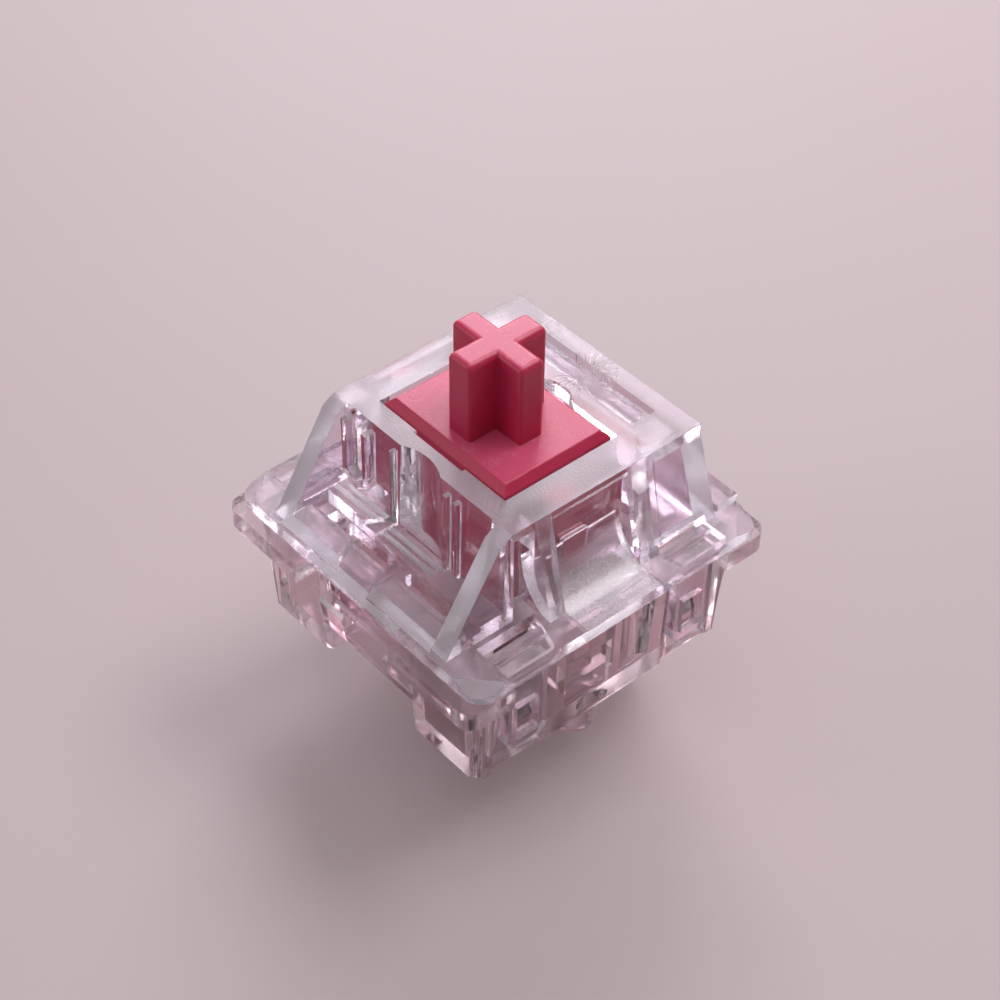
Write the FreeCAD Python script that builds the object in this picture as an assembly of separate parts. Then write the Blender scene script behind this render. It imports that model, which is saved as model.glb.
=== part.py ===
import FreeCAD, Part
import math
import os

# A keyboard switch with a cross stem. Sizes are in millimetres. The origin is on the axis of the
# centre post, on the face of the circuit board that the switch stands on. +Z points at the stem's
# top, -Y is the side with the light slots and +Y the side with the two contact strips.

# Overall heights above the circuit board
PLATE_TOP = 5.0
LOWER_FLANGE_HEIGHT = 0.9
UPPER_FLANGE_HEIGHT = 0.65
HOUSING_TOP = 11.2
STEM_TOP = 15.2
STEM_TRAVEL = 4.0

# Plan sizes
FLANGE_SIDE = 15.6
FLANGE_LENGTH = 16.1
FLANGE_CORNER_RADIUS = 0.7
UPPER_FLANGE_STEP = 0.1
UPPER_FLANGE_FRONT_STEP = 0.55
UPPER_FLANGE_BACK_STEP = 0.35
UPPER_CORNER_RADIUS = 0.85
BODY_SIDE = 14.0
BODY_FOOT_SIDE = 13.5
BODY_CORNER_RADIUS = 0.35
WALL = 0.85
FLOOR_THICKNESS = 1.0
WELL_RADIUS = 0.3

# How far a grown-on feature is rooted in its wall, and how far a cut runs on past a face
ROOT = 0.1
OVERRUN = 1.0

# Running and seating clearances
SLIDE_CLEARANCE = 0.05
SHAFT_CLEARANCE = 0.17
SEAT_GAP = 0.02
STRIP_CLEARANCE = 0.04
STOP_CLEARANCE = 0.08

# Stem
PLATFORM_LENGTH = 7.3
PLATFORM_WIDTH = 5.5
PLATFORM_TOP = 11.45
PLATFORM_BEVEL = 0.32
PLATFORM_HEIGHT = 4.1
CROSS_SPAN_X = 4.1
CROSS_SPAN_Y = 3.95
CROSS_ARM_X = 1.2
CROSS_ARM_Y = 1.3
CROSS_TOP_RADIUS = 0.26
CROSS_SIDE_RADIUS = 0.16
SKIRT_LENGTH = 6.0
SKIRT_WIDTH = 5.2
SKIRT_CORNER_RADIUS = 0.6
RAIL_REACH = 4.3
RAIL_WIDTH = 1.2
RAIL_TOP = 8.4
POLE_DIAMETER = 1.9
POLE_TIP_BEVEL = 0.35
SPRING_ROOM_DIAMETER = 4.5
SPRING_ROOM_TOP = 9.9
CAM_LEG_INNER = 1.0
CAM_LEG_WIDTH = 1.3
CAM_LEG_REACH = 3.6
CAM_LEG_TOP_REACH = 3.1
CAM_LEG_ROOT = 0.3
CAM_STEP_HEIGHT = 1.3
CAM_RAMP_HEIGHT = 0.5

# Return spring
SPRING_DIAMETER = 4.16
WIRE_DIAMETER = 0.28
SPRING_TURNS = 9
WIRE_FLATS = 7

# Upper housing: shaft, ring and sloping sides
OPENING_FRONT = 2.88
OPENING_BACK = 2.95
SHAFT_FRONT = 3.9
SHAFT_FRONT_DRAFT = 0.1
SHAFT_HALF_LENGTH = 4.55
SHAFT_FOOT = 6.2
RING_HALF_LENGTH = 5.42
RING_BACK = 5.96
RING_THICKNESS = 0.42
SIDE_SLOPE = 0.215
BACK_SLOPE = 0.09
SIDE_THICKNESS = 0.95
CORNER_RIB_SHOULDER_Y = 4.5
CORNER_RIB_SHOULDER_DROP = 0.35
CORNER_RIB_FOOT_Y = 7.15
FRONT_STRUT = (-2.75, -1.95)
BACK_STRUT = (2.1, 3.3)
BACK_CORNER_STEP = 0.14
PANEL_FACE = 5.08
PANEL_THICKNESS = 0.75
PANEL_SCOOP_RADIUS = 1.95
INSERT_STEP = 0.08
INSERT_EDGE = 0.25
INSERT_SLANT = 0.5
SCOOP_FOOT_DROP = 0.05

# Upper housing: front wall of the shaft
LIGHT_CHANNEL_RADIUS = 2.2
LIGHT_CHANNEL_DEPTH = 0.36
LIGHT_CHANNEL_FOOT = 7.0
WALL_RIB_WIDTH = 0.24
WALL_RIB_REACH = 0.28
WALL_RIB_PLACES = (-1.52, 1.78, 2.38)
BOSS_REACH = 0.5
BOSS_LEFT = -4.42
BOSS_RIGHT = -2.8
BOSS_WALL = 0.32
BOSS_FOOT = 7.5
BOSS_NOSE = 0.5
RELIEF_HALF_LENGTH = 1.48
RELIEF_DEPTH = 0.16
HALF_MOON_X = 0.25
HALF_MOON_RADIUS = 1.45
HALF_MOON_DEPTH = 0.42
BACK_TROUGH_RADIUS = 1.5
BACK_TROUGH_DEPTH = 0.55
BACK_TROUGH_HALF_LENGTH = 3.7
BACK_RIM_WIDTH = 0.85
CONTACT_ROOM_HALF_LENGTH = 4.6
CONTACT_ROOM_TOP = 9.0

# Upper housing: flange
SLOT_FRONT = 5.82
SLOT_BACK = 5.16
SLOT_SPANS = ((-3.92, -3.36), (-2.92, 0.0), (0.86, 3.55))
SILL_HALF_LENGTH = 4.6
SILL_TOP = 7.3
SILL_LOW_TOP = 6.85
SILL_STEP_X = -1.45
SILL_FRONT = 5.11
SILL_GROOVE = 0.14
SILL_GROOVE_PLACES = (4.37, 4.75)
PAD_TOP = 6.92
PAD_BACK = 5.9
PAD_FRONT = 6.95
PAD_TOE = 0.38
PAD_SPANS = ((-4.75, -1.2), (0.75, 4.6))
PAD_END_SLANT = 0.7
FRONT_BEVEL_HALF_LENGTH = 2.9
FRONT_BEVEL = 0.4
BACK_LEDGE_TOP = 6.98
BACK_LEDGE_HALF_LENGTH = 6.2
BACK_LEDGE_DEPTH = 1.1
CORNER_DROP = 0.45
CORNER_DROP_LENGTH = 1.5

# Latches between the two housings
LATCH_PLACE = 4.5
LATCH_WIDTH = 2.0
LATCH_THICKNESS = 0.65
LATCH_INSET = 0.5
LATCH_CLEARANCE = 0.13
LATCH_FOOT = 1.5
LATCH_WINDOW_WIDTH = 1.1
LATCH_WINDOW = (2.0, 3.85)
LATCH_EDGE_BEVEL = 0.45
LATCH_TOE_BEVEL = 0.27
LATCH_POCKET_HALF = 1.35
LATCH_POCKET_SLANT = 0.27
LATCH_POCKET_RIM = 0.28
LATCH_POCKET_FLOOR = 6.15
TOOL_SLOT_WIDTH = 0.48
TOOL_SLOT_INSET = 0.41
TOOL_SLOT_HALF = 1.42
LATCH_BAR_TOP = 6.38
LATCH_BAR_WIDTH = 0.45
LATCH_BAY_HALF = 1.2
LATCH_BAY_FLARE = 0.4
LATCH_BAY_BACK = 0.5
CATCH_REACH = 0.5
CATCH_NOSE_HEIGHT = 0.6

# Lower housing
FRONT_GAP_HALF = 2.95
POST_FOOT_BEVEL = 0.3
CORNER_GROOVE_RADIUS = 0.3
CORNER_GROOVE_INSET = 0.1
CLIP_FOOT = 2.0
CLIP_RIDGE = 3.35
CLIP_REACH = 0.16
CLIP_RECESS_DEPTH = 0.38
CLIP_BLOCK_INNER = 1.35
CLIP_BAR_HEIGHT = 0.35
CLIP_LEDGE_HALF = 2.1
CLIP_LEDGE_TOP = 4.3
CLIP_LEDGE_HEIGHT = 0.4
LIGHT_WELL_HALF = 2.9
LIGHT_WELL_BACK = 3.45
LIGHT_WELL_CHEEK = 0.4
FLUTE_RADIUS = 1.05
FLUTE_PLACE = 1.6
FLUTE_DEPTH = 0.42
FLUTE_SPAN = (1.6, 5.2)
SIDE_RECESS_Y = (-2.15, 0.2)
SIDE_RECESS_Z = (1.55, 4.1)
SIDE_RECESS_DEPTH = 0.22
GUIDE_WALL = 0.7
GUIDE_OUTER = 5.2
SPRING_SEAT_DIAMETER = 3.4
SPRING_SEAT_HEIGHT = 1.1
POLE_BORE_DIAMETER = 2.15
POST_DIAMETER = 3.95
POST_LENGTH = 3.3
POST_BEVEL = 0.45
POST_END_THICKNESS = 0.95
PEG_PLACE = 5.08
PEG_DIAMETER = 1.7
PEG_LENGTH = 3.0
PEG_TIP_BEVEL = 0.4

# Contact strips
STRIP_WALL = 0.5
STRIP_WALL_DROP = 1.3
STRIP_THICKNESS = 0.2
PIN_WIDTH = 0.95
PIN_LENGTH = 3.3
PIN_TIP_WIDTH = 0.45
PIN_TIP_LENGTH = 0.6
LEAF_PIN = (2.54, 5.08)
BLADE_PIN = (-3.81, 2.54)
BLADE_PLANE = 4.0
BLADE_LEFT = -4.35
BLADE_HEAD_HALF = 0.62
BLADE_SHOULDER_DROP = 0.2
BLADE_HEAD_RISE = 0.6
BLADE_FOOT = 1.35
BLADE_BASE_HEIGHT = 0.7
LEAF_LEFT = -3.1
LEAF_RIGHT = 3.2
LEAF_FRONT_PLANE = 4.62
LEAF_FOOT = 1.6
LEAF_SPRING_RISE = 0.9
LEAF_ARM_DROP = 0.7
LEAF_ARM_WIDTH = 0.6
LEAF_ROOT_WIDTH = 0.7
LEAF_FOLD_RISE = 0.4
LEAF_WAIST_WIDTH = 1.6
LEAF_WAIST_TOP = 2.9
LEAF_WAIST_SLANT = 0.8
TINE_WIDTH = 0.8
TINE_PLACE = 1.65
TINE_BUMP_GAP = 0.03
TINE_HEEL = 0.1
TINE_BEND = 0.5
POINT_WIDTH = 0.5
POINT_HEIGHT = 0.9
POINT_THICKNESS = 0.12
POINT_RIDGE_SHARE = 0.3
CONTACT_DROP = 0.3

# Heights and places that follow from the sizes above
FLANGE_JOINT = PLATE_TOP + LOWER_FLANGE_HEIGHT
UPPER_FLANGE_FOOT = FLANGE_JOINT + SEAT_GAP
UPPER_FLANGE_TOP = FLANGE_JOINT + UPPER_FLANGE_HEIGHT
UPPER_FLANGE_HALF = FLANGE_SIDE / 2 - UPPER_FLANGE_STEP
UPPER_FLANGE_FRONT = FLANGE_LENGTH / 2 - UPPER_FLANGE_FRONT_STEP
UPPER_FLANGE_BACK = FLANGE_LENGTH / 2 - UPPER_FLANGE_BACK_STEP
LATCH_OUTER = UPPER_FLANGE_HALF - LATCH_INSET
LATCH_INNER = LATCH_OUTER - LATCH_THICKNESS
LATCH_BAY_WALL = LATCH_INNER - LATCH_CLEARANCE
LATCH_POCKET_OUTER = UPPER_FLANGE_HALF - LATCH_POCKET_RIM
TOOL_SLOT_OUTER = LATCH_INNER - TOOL_SLOT_INSET
TOOL_SLOT = (TOOL_SLOT_OUTER - TOOL_SLOT_WIDTH, TOOL_SLOT_OUTER)
STEM_FOOT = FLOOR_THICKNESS + STEM_TRAVEL + STOP_CLEARANCE
POLE_TIP = POST_END_THICKNESS - POST_LENGTH + STEM_TRAVEL + STOP_CLEARANCE
INNER_HALF = BODY_FOOT_SIDE / 2 - WALL
OPENING_HALF_LENGTH = PLATFORM_LENGTH / 2 + SHAFT_CLEARANCE
BODY_DRAFT = (BODY_SIDE - BODY_FOOT_SIDE) / 2 / PLATE_TOP
SCOOP_FOOT = UPPER_FLANGE_TOP - SCOOP_FOOT_DROP
CONTACT_HEIGHT = FLANGE_JOINT - CONTACT_DROP
STRIP_WALL_TOP = FLANGE_JOINT - STRIP_WALL_DROP
BLADE_SHOULDER = STRIP_WALL_TOP - BLADE_SHOULDER_DROP
BLADE_TOP = CONTACT_HEIGHT + BLADE_HEAD_RISE
LEAF_SPRING_TOP = CONTACT_HEIGHT + LEAF_SPRING_RISE
LEAF_ARM_FOOT = CONTACT_HEIGHT - LEAF_ARM_DROP

V = FreeCAD.Vector


def block(x, y, z):
    """A block between three (low, high) pairs."""
    return Part.makeBox(x[1] - x[0], y[1] - y[0], z[1] - z[0], V(x[0], y[0], z[0]))


def face_of(edges):
    return Part.Face(Part.Wire(edges))


def along_x(points, low, high):
    """A prism along X whose outline is given as (y, z) points."""
    corners = [V(low, y, z) for y, z in points]
    outline = Part.makePolygon(corners + corners[:1])
    return Part.Face(outline).extrude(V(high - low, 0, 0))


def along_y(points, low, high):
    """A prism along Y whose outline is given as (x, z) points."""
    corners = [V(x, low, z) for x, z in points]
    outline = Part.makePolygon(corners + corners[:1])
    return Part.Face(outline).extrude(V(0, high - low, 0))


def along_z(points, low, high):
    """A prism along Z whose outline is given as (x, y) points."""
    corners = [V(x, y, low) for x, y in points]
    outline = Part.makePolygon(corners + corners[:1])
    return Part.Face(outline).extrude(V(0, 0, high - low))


def post(diameter, low, high, x=0.0, y=0.0):
    return Part.makeCylinder(diameter / 2, high - low, V(x, y, low))


def rounded_outline(half_x, half_y, radius, z):
    """A closed rectangle with round corners, at the height z."""
    edges = []
    quarter = radius * math.sqrt(0.5)
    centres = []
    for side_x, side_y in ((1, 1), (-1, 1), (-1, -1), (1, -1)):
        centres.append((side_x, side_y, side_x * (half_x - radius), side_y * (half_y - radius)))
    ends = []
    for side_x, side_y, x, y in centres:
        on_x = V(x + side_x * radius, y, z)
        on_y = V(x, y + side_y * radius, z)
        middle = V(x + side_x * quarter, y + side_y * quarter, z)
        first, last = (on_x, on_y) if side_x * side_y > 0 else (on_y, on_x)
        ends.append((first, last))
        edges.append(Part.Arc(first, middle, last).toShape())
    for index, (first, last) in enumerate(ends):
        following = ends[(index + 1) % len(ends)][0]
        edges.append(Part.LineSegment(last, following).toShape())
    return Part.Wire(Part.__sortEdges__(edges))


def rounded_block(half_x, half_y, radius, z):
    outline = rounded_outline(half_x, half_y, radius, z[0])
    return Part.Face(outline).extrude(V(0, 0, z[1] - z[0]))


def tapered_block(foot, top, radius, z):
    """A square block with round corners, foot wide at its low end and top wide at its high end."""
    low = rounded_outline(foot / 2, foot / 2, radius, z[0])
    high = rounded_outline(top / 2, top / 2, radius, z[1])
    return Part.makeLoft([low, high], True, True)


def turned(points):
    """A solid of revolution about Z whose half outline is given as (radius, z) points."""
    corners = [V(radius, 0, z) for radius, z in points]
    outline = Part.makePolygon(corners + corners[:1])
    return Part.Face(outline).revolve(V(0, 0, 0), V(0, 0, 1), 360)


def flipped_x(shape):
    return shape.mirror(V(0, 0, 0), V(1, 0, 0))


def flipped_y(shape):
    return shape.mirror(V(0, 0, 0), V(0, 1, 0))


def both_sides(shape):
    return [shape, flipped_x(shape)]


def four_ways(shape):
    pair = both_sides(shape)
    return pair + [flipped_y(item) for item in pair]


def joined(shapes):
    return shapes[0].fuse(shapes[1:]).removeSplitter()


def body_half(z):
    """Half the lower body's width at the height z, with its draft."""
    return BODY_FOOT_SIDE / 2 + BODY_DRAFT * z


def side_reach(z):
    """X of the upper housing's sloping side at the height z."""
    return RING_HALF_LENGTH + SIDE_SLOPE * (HOUSING_TOP - z)


def back_reach(z):
    """Y of the upper housing's back wall at the height z."""
    return RING_BACK + BACK_SLOPE * (HOUSING_TOP - z)


def strip_room(place, width):
    """The slot in the floor that a contact pin passes through."""
    half_x = width / 2 + STRIP_CLEARANCE
    half_y = STRIP_THICKNESS / 2 + STRIP_CLEARANCE
    x, y = place
    height = (-OVERRUN, FLOOR_THICKNESS + OVERRUN)
    return block((x - half_x, x + half_x), (y - half_y, y + half_y), height)


def lower_shell():
    """The drafted box with its flange, hollow from above, with bevelled feet."""
    foot = BODY_FOOT_SIDE - 2 * POST_FOOT_BEVEL
    bevel_side = 2 * body_half(POST_FOOT_BEVEL)
    toe = tapered_block(foot, bevel_side, BODY_CORNER_RADIUS, (0, POST_FOOT_BEVEL))
    top_side = 2 * body_half(FLANGE_JOINT)
    wall = tapered_block(bevel_side, top_side, BODY_CORNER_RADIUS, (POST_FOOT_BEVEL, FLANGE_JOINT))
    height = (PLATE_TOP, FLANGE_JOINT)
    flange = rounded_block(FLANGE_SIDE / 2, FLANGE_LENGTH / 2, FLANGE_CORNER_RADIUS, height)
    room = rounded_block(INNER_HALF, INNER_HALF, WELL_RADIUS, (FLOOR_THICKNESS, HOUSING_TOP))
    return joined([toe, wall, flange]).cut(room)


def flange_gaps():
    """The stretches where the flange is left away, over the clips and between the corner posts."""
    face = body_half(PLATE_TOP)
    height = (PLATE_TOP, HOUSING_TOP)
    side_half = LATCH_PLACE + LATCH_BAY_HALF
    front = block((-FRONT_GAP_HALF, FRONT_GAP_HALF), (-FLANGE_SIDE, -face), height)
    side = block((face, FLANGE_SIDE), (-side_half, side_half), height)
    return [front, flipped_y(front), side, flipped_x(side)]


def latch_bays():
    """The four upright bays that the upper housing's latch legs hang in."""
    near = LATCH_PLACE - LATCH_BAY_HALF
    far = LATCH_PLACE + LATCH_BAY_HALF
    outline = [
        (near, -OVERRUN),
        (far + LATCH_BAY_FLARE, -OVERRUN),
        (far, PLATE_TOP),
        (far, HOUSING_TOP),
        (near, HOUSING_TOP),
    ]
    return four_ways(along_x(outline, LATCH_BAY_WALL, FLANGE_SIDE))


def latch_bay_backs():
    """The thin walls between the bays and the inner room."""
    depth = (LATCH_BAY_WALL - LATCH_BAY_BACK, LATCH_BAY_WALL)
    width = (LATCH_PLACE - LATCH_BAY_HALF, LATCH_PLACE + LATCH_BAY_HALF)
    return four_ways(block(depth, width, (FLOOR_THICKNESS / 2, FLANGE_JOINT - SEAT_GAP)))


def catches():
    """The four ramps that the windows of the latch legs snap over."""
    half = LATCH_WINDOW_WIDTH / 2 - SLIDE_CLEARANCE
    low = LATCH_WINDOW[0] + SLIDE_CLEARANCE
    high = LATCH_WINDOW[1] - SLIDE_CLEARANCE
    nose = low + CATCH_NOSE_HEIGHT
    tip = LATCH_BAY_WALL + CATCH_REACH
    root = LATCH_BAY_WALL - SEAT_GAP
    outline = [(root, low), (tip, low), (tip, nose), (LATCH_BAY_WALL, high), (root, high)]
    return four_ways(along_y(outline, LATCH_PLACE - half, LATCH_PLACE + half))


def plate_clip(open_behind):
    """Cuts and additions of the clip in the middle of the front wall, for a plate's edge."""
    recess_face = body_half(0) - CLIP_RECESS_DEPTH
    behind = recess_face - ROOT
    ridge_low = CLIP_RIDGE + CLIP_REACH
    wide = (-FRONT_GAP_HALF, FRONT_GAP_HALF)
    narrow = (-CLIP_BLOCK_INNER, CLIP_BLOCK_INNER)
    bar_top = CLIP_FOOT + CLIP_BAR_HEIGHT
    recess = block(wide, (-FLANGE_SIDE, -recess_face), (CLIP_FOOT, PLATE_TOP))
    below = block(wide, (-FLANGE_SIDE, -recess_face), (-OVERRUN, CLIP_FOOT))
    cuts = [recess, below]
    if open_behind:
        inner = -INNER_HALF + ROOT
        cuts.append(block(narrow, (-FLANGE_SIDE, inner), (bar_top, ridge_low)))
    foot_face = -body_half(CLIP_FOOT)
    ridge_face = -body_half(CLIP_RIDGE) - CLIP_REACH
    outline = [
        (-behind, CLIP_FOOT),
        (foot_face, CLIP_FOOT),
        (ridge_face, CLIP_RIDGE),
        (-body_half(ridge_low), ridge_low),
        (-behind, ridge_low),
    ]
    wedge = along_x(outline, CLIP_BLOCK_INNER, FRONT_GAP_HALF)
    bar = block(narrow, (foot_face, -behind), (CLIP_FOOT, bar_top))
    ledge_low = CLIP_LEDGE_TOP - CLIP_LEDGE_HEIGHT
    ledge_face = -body_half(ledge_low)
    ledge_wide = (-CLIP_LEDGE_HALF, CLIP_LEDGE_HALF)
    ledge = block(ledge_wide, (ledge_face, -behind), (ledge_low, CLIP_LEDGE_TOP))
    return cuts, both_sides(wedge) + [bar, ledge]


def light_well():
    """The open bay in front for a lamp, and the partition that keeps it off the mechanism."""
    wide = (-LIGHT_WELL_HALF, LIGHT_WELL_HALF)
    floor_opening = block(wide, (-FLANGE_SIDE, -LIGHT_WELL_BACK), (-OVERRUN, CLIP_FOOT))
    height = (0, FLANGE_JOINT - SEAT_GAP)
    stem_side = -PLATFORM_WIDTH / 2 - SHAFT_CLEARANCE
    back = block(wide, (-LIGHT_WELL_BACK, stem_side), height)
    outer = LIGHT_WELL_HALF + LIGHT_WELL_CHEEK
    cheek = block((LIGHT_WELL_HALF, outer), (-INNER_HALF - ROOT, stem_side), (0, PLATE_TOP))
    return floor_opening, [back] + both_sides(cheek)


def side_details():
    """Flutes and shallow panels moulded into the middle of the two side walls."""
    face = body_half((SIDE_RECESS_Z[0] + SIDE_RECESS_Z[1]) / 2)
    flute_axis = face + FLUTE_RADIUS - FLUTE_DEPTH
    low, high = FLUTE_SPAN
    flute = Part.makeCylinder(FLUTE_RADIUS, high - low, V(flute_axis, FLUTE_PLACE, low))
    panel = block((face - SIDE_RECESS_DEPTH, FLANGE_SIDE), SIDE_RECESS_Y, SIDE_RECESS_Z)
    middle = LATCH_PLACE - LATCH_BAY_HALF
    lift_height = (-OVERRUN, POST_FOOT_BEVEL)
    lift = block((body_half(0) - WALL / 2, FLANGE_SIDE), (-middle, middle), lift_height)
    return both_sides(flute) + both_sides(panel) + both_sides(lift)


def corner_grooves():
    place = body_half(0) - CORNER_GROOVE_INSET
    groove = post(2 * CORNER_GROOVE_RADIUS, -OVERRUN, PLATE_TOP - SEAT_GAP, place, place)
    return four_ways(groove)


def guide_channels():
    """Two upright channels that the stem's rails slide in."""
    half = RAIL_WIDTH / 2 + SLIDE_CLEARANCE
    inner = OPENING_HALF_LENGTH
    height = (FLOOR_THICKNESS / 2, FLANGE_JOINT - SEAT_GAP)
    outer = block((inner, GUIDE_OUTER), (-half - GUIDE_WALL, half + GUIDE_WALL), height)
    bed = RAIL_REACH + SLIDE_CLEARANCE
    groove = block((0, bed), (-half, half), (FLOOR_THICKNESS, HOUSING_TOP))
    return both_sides(outer.cut(groove))


def board_posts():
    """The centre post and the two side pegs that locate the switch on a circuit board."""
    radius = POST_DIAMETER / 2
    centre = turned([
        (0, -POST_LENGTH),
        (radius - POST_BEVEL, -POST_LENGTH),
        (radius, POST_BEVEL - POST_LENGTH),
        (radius, FLOOR_THICKNESS / 2),
        (0, FLOOR_THICKNESS / 2),
    ])
    peg_radius = PEG_DIAMETER / 2
    low = FLOOR_THICKNESS / 2 - PEG_LENGTH
    peg = turned([
        (0, low),
        (peg_radius - PEG_TIP_BEVEL, low),
        (peg_radius, low + PEG_TIP_BEVEL),
        (peg_radius, FLOOR_THICKNESS / 2),
        (0, FLOOR_THICKNESS / 2),
    ]).translated(V(PEG_PLACE, 0, 0))
    return [centre] + both_sides(peg)


def spring_seat():
    return post(SPRING_SEAT_DIAMETER, FLOOR_THICKNESS / 2, FLOOR_THICKNESS + SPRING_SEAT_HEIGHT)


def strip_supports():
    """Walls that hold the leaf's back plate and the blade upright in the contact room."""
    leaf_back = LEAF_PIN[1] + STRIP_THICKNESS / 2 + STRIP_CLEARANCE
    leaf_end = LEAF_RIGHT + STRIP_CLEARANCE
    height = (FLOOR_THICKNESS / 2, STRIP_WALL_TOP)
    back = INNER_HALF + ROOT
    leaf_outer = leaf_end + STRIP_WALL
    wall = block((LEAF_LEFT, leaf_outer), (leaf_back, back), height)
    end = block((leaf_end, leaf_outer), (LEAF_FRONT_PLANE + STRIP_THICKNESS, back), height)
    blade_end = BLADE_LEFT - STRIP_CLEARANCE
    blade_back = BLADE_PLANE + STRIP_THICKNESS / 2 + STRIP_CLEARANCE
    blade_outer = blade_end - STRIP_WALL
    outer_back = blade_back + STRIP_WALL
    blade_wall = block((blade_outer, BLADE_LEFT + STRIP_WALL), (blade_back, outer_back), height)
    blade_stop = block((blade_outer, blade_end), (BLADE_PLANE - STRIP_WALL, outer_back), height)
    return [wall, end, blade_wall, blade_stop]


def lower_housing():
    front_cuts, front_adds = plate_clip(True)
    back_cuts, back_adds = plate_clip(False)
    well_cut, well_walls = light_well()
    cuts = flange_gaps() + latch_bays() + front_cuts + [flipped_y(item) for item in back_cuts]
    cuts += side_details() + corner_grooves() + [well_cut]
    shape = lower_shell().cut(cuts)
    adds = latch_bay_backs() + catches()
    adds += front_adds + [flipped_y(item) for item in back_adds]
    adds += well_walls + guide_channels() + board_posts() + [spring_seat()] + strip_supports()
    shape = shape.fuse(adds)
    bore_foot = POST_END_THICKNESS - POST_LENGTH
    pole_bore = post(POLE_BORE_DIAMETER, bore_foot, HOUSING_TOP)
    pin_rooms = [strip_room(LEAF_PIN, PIN_WIDTH), strip_room(BLADE_PIN, PIN_WIDTH)]
    return shape.cut([pole_bore] + pin_rooms).removeSplitter()


def shaft():
    """The inner tube that the stem's skirt slides in, with a drafted front wall."""
    front_foot = SHAFT_FRONT + SHAFT_FRONT_DRAFT
    opening_x = (-OPENING_HALF_LENGTH, OPENING_HALF_LENGTH)
    front = along_x(
        [
            (-front_foot, SHAFT_FOOT),
            (-SHAFT_FRONT, HOUSING_TOP),
            (-OPENING_FRONT, HOUSING_TOP),
            (-OPENING_FRONT, SHAFT_FOOT),
        ],
        -SHAFT_HALF_LENGTH,
        SHAFT_HALF_LENGTH,
    )
    side = block(
        (OPENING_HALF_LENGTH, SHAFT_HALF_LENGTH),
        (-OPENING_FRONT, OPENING_BACK + WALL),
        (SHAFT_FOOT, HOUSING_TOP),
    )
    back_height = (CONTACT_ROOM_TOP - ROOT, HOUSING_TOP)
    back = block(opening_x, (OPENING_BACK, OPENING_BACK + WALL), back_height)
    return [front, back] + both_sides(side)


def shaft_front_ribs():
    """Upright ribs, and the hollow boss on the left of the front wall."""
    shapes = []
    high = HOUSING_TOP - RING_THICKNESS
    height = (SILL_LOW_TOP - ROOT, high)
    wall = -SHAFT_FRONT + ROOT
    for place in WALL_RIB_PLACES:
        span = (place - WALL_RIB_WIDTH / 2, place + WALL_RIB_WIDTH / 2)
        shapes.append(block(span, (-SHAFT_FRONT - WALL_RIB_REACH, wall), height))
    face = -SHAFT_FRONT - BOSS_REACH
    middle = (BOSS_LEFT + BOSS_RIGHT) / 2
    outline = [
        (BOSS_LEFT, high),
        (BOSS_LEFT, BOSS_FOOT + BOSS_NOSE),
        (middle, BOSS_FOOT),
        (BOSS_RIGHT, BOSS_FOOT + BOSS_NOSE),
        (BOSS_RIGHT, high),
    ]
    boss = along_y(outline, face, wall)
    inside = [
        (BOSS_LEFT + BOSS_WALL, high + OVERRUN),
        (BOSS_LEFT + BOSS_WALL, BOSS_FOOT + BOSS_NOSE + BOSS_WALL),
        (middle, BOSS_FOOT + math.sqrt(2) * BOSS_WALL),
        (BOSS_RIGHT - BOSS_WALL, BOSS_FOOT + BOSS_NOSE + BOSS_WALL),
        (BOSS_RIGHT - BOSS_WALL, high + OVERRUN),
    ]
    shapes.append(boss.cut(along_y(inside, face - OVERRUN, -SHAFT_FRONT + SEAT_GAP)))
    return shapes


def ring():
    """The flat frame round the stem, thicker behind, where the trough is."""
    top = block(
        (-RING_HALF_LENGTH, RING_HALF_LENGTH),
        (-SHAFT_FRONT, RING_BACK),
        (HOUSING_TOP - RING_THICKNESS, HOUSING_TOP),
    )
    low = HOUSING_TOP - BACK_TROUGH_DEPTH - RING_THICKNESS
    back = block(
        (-RING_HALF_LENGTH, RING_HALF_LENGTH),
        (OPENING_BACK + WALL / 2, RING_BACK),
        (low, HOUSING_TOP),
    )
    return [top, back]


def corner_ribs():
    """The two upright ribs that run from the ring's front corners down to the flange's front."""
    wall = -SHAFT_FRONT + ROOT
    low = UPPER_FLANGE_FOOT + ROOT
    outline = [
        (wall, HOUSING_TOP),
        (-SHAFT_FRONT, HOUSING_TOP),
        (-CORNER_RIB_SHOULDER_Y, HOUSING_TOP - CORNER_RIB_SHOULDER_DROP),
        (-CORNER_RIB_FOOT_Y, UPPER_FLANGE_TOP),
        (-CORNER_RIB_FOOT_Y, low),
        (wall, low),
    ]
    return both_sides(along_x(outline, SHAFT_HALF_LENGTH, RING_HALF_LENGTH))


def sloping_side(set_back, low, front, back):
    """A stretch of the sloping side, from its front to its back in Y."""
    foot = side_reach(low) - set_back
    head = side_reach(HOUSING_TOP) - set_back
    inward = SIDE_THICKNESS - set_back
    outline = [(foot, low), (head, HOUSING_TOP), (head - inward, HOUSING_TOP), (foot - inward, low)]
    return along_y(outline, front, back)


def back_corners():
    """The sloping sides behind the back struts, set back a little from them."""
    low = UPPER_FLANGE_FOOT + ROOT
    slab = sloping_side(BACK_CORNER_STEP, low, BACK_STRUT[0], FLANGE_LENGTH)
    outline = along_x(
        [
            (0, HOUSING_TOP),
            (0, low),
            (back_reach(low), low),
            (back_reach(HOUSING_TOP), HOUSING_TOP),
        ],
        0,
        FLANGE_SIDE,
    )
    return both_sides(slab.common(outline))


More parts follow.
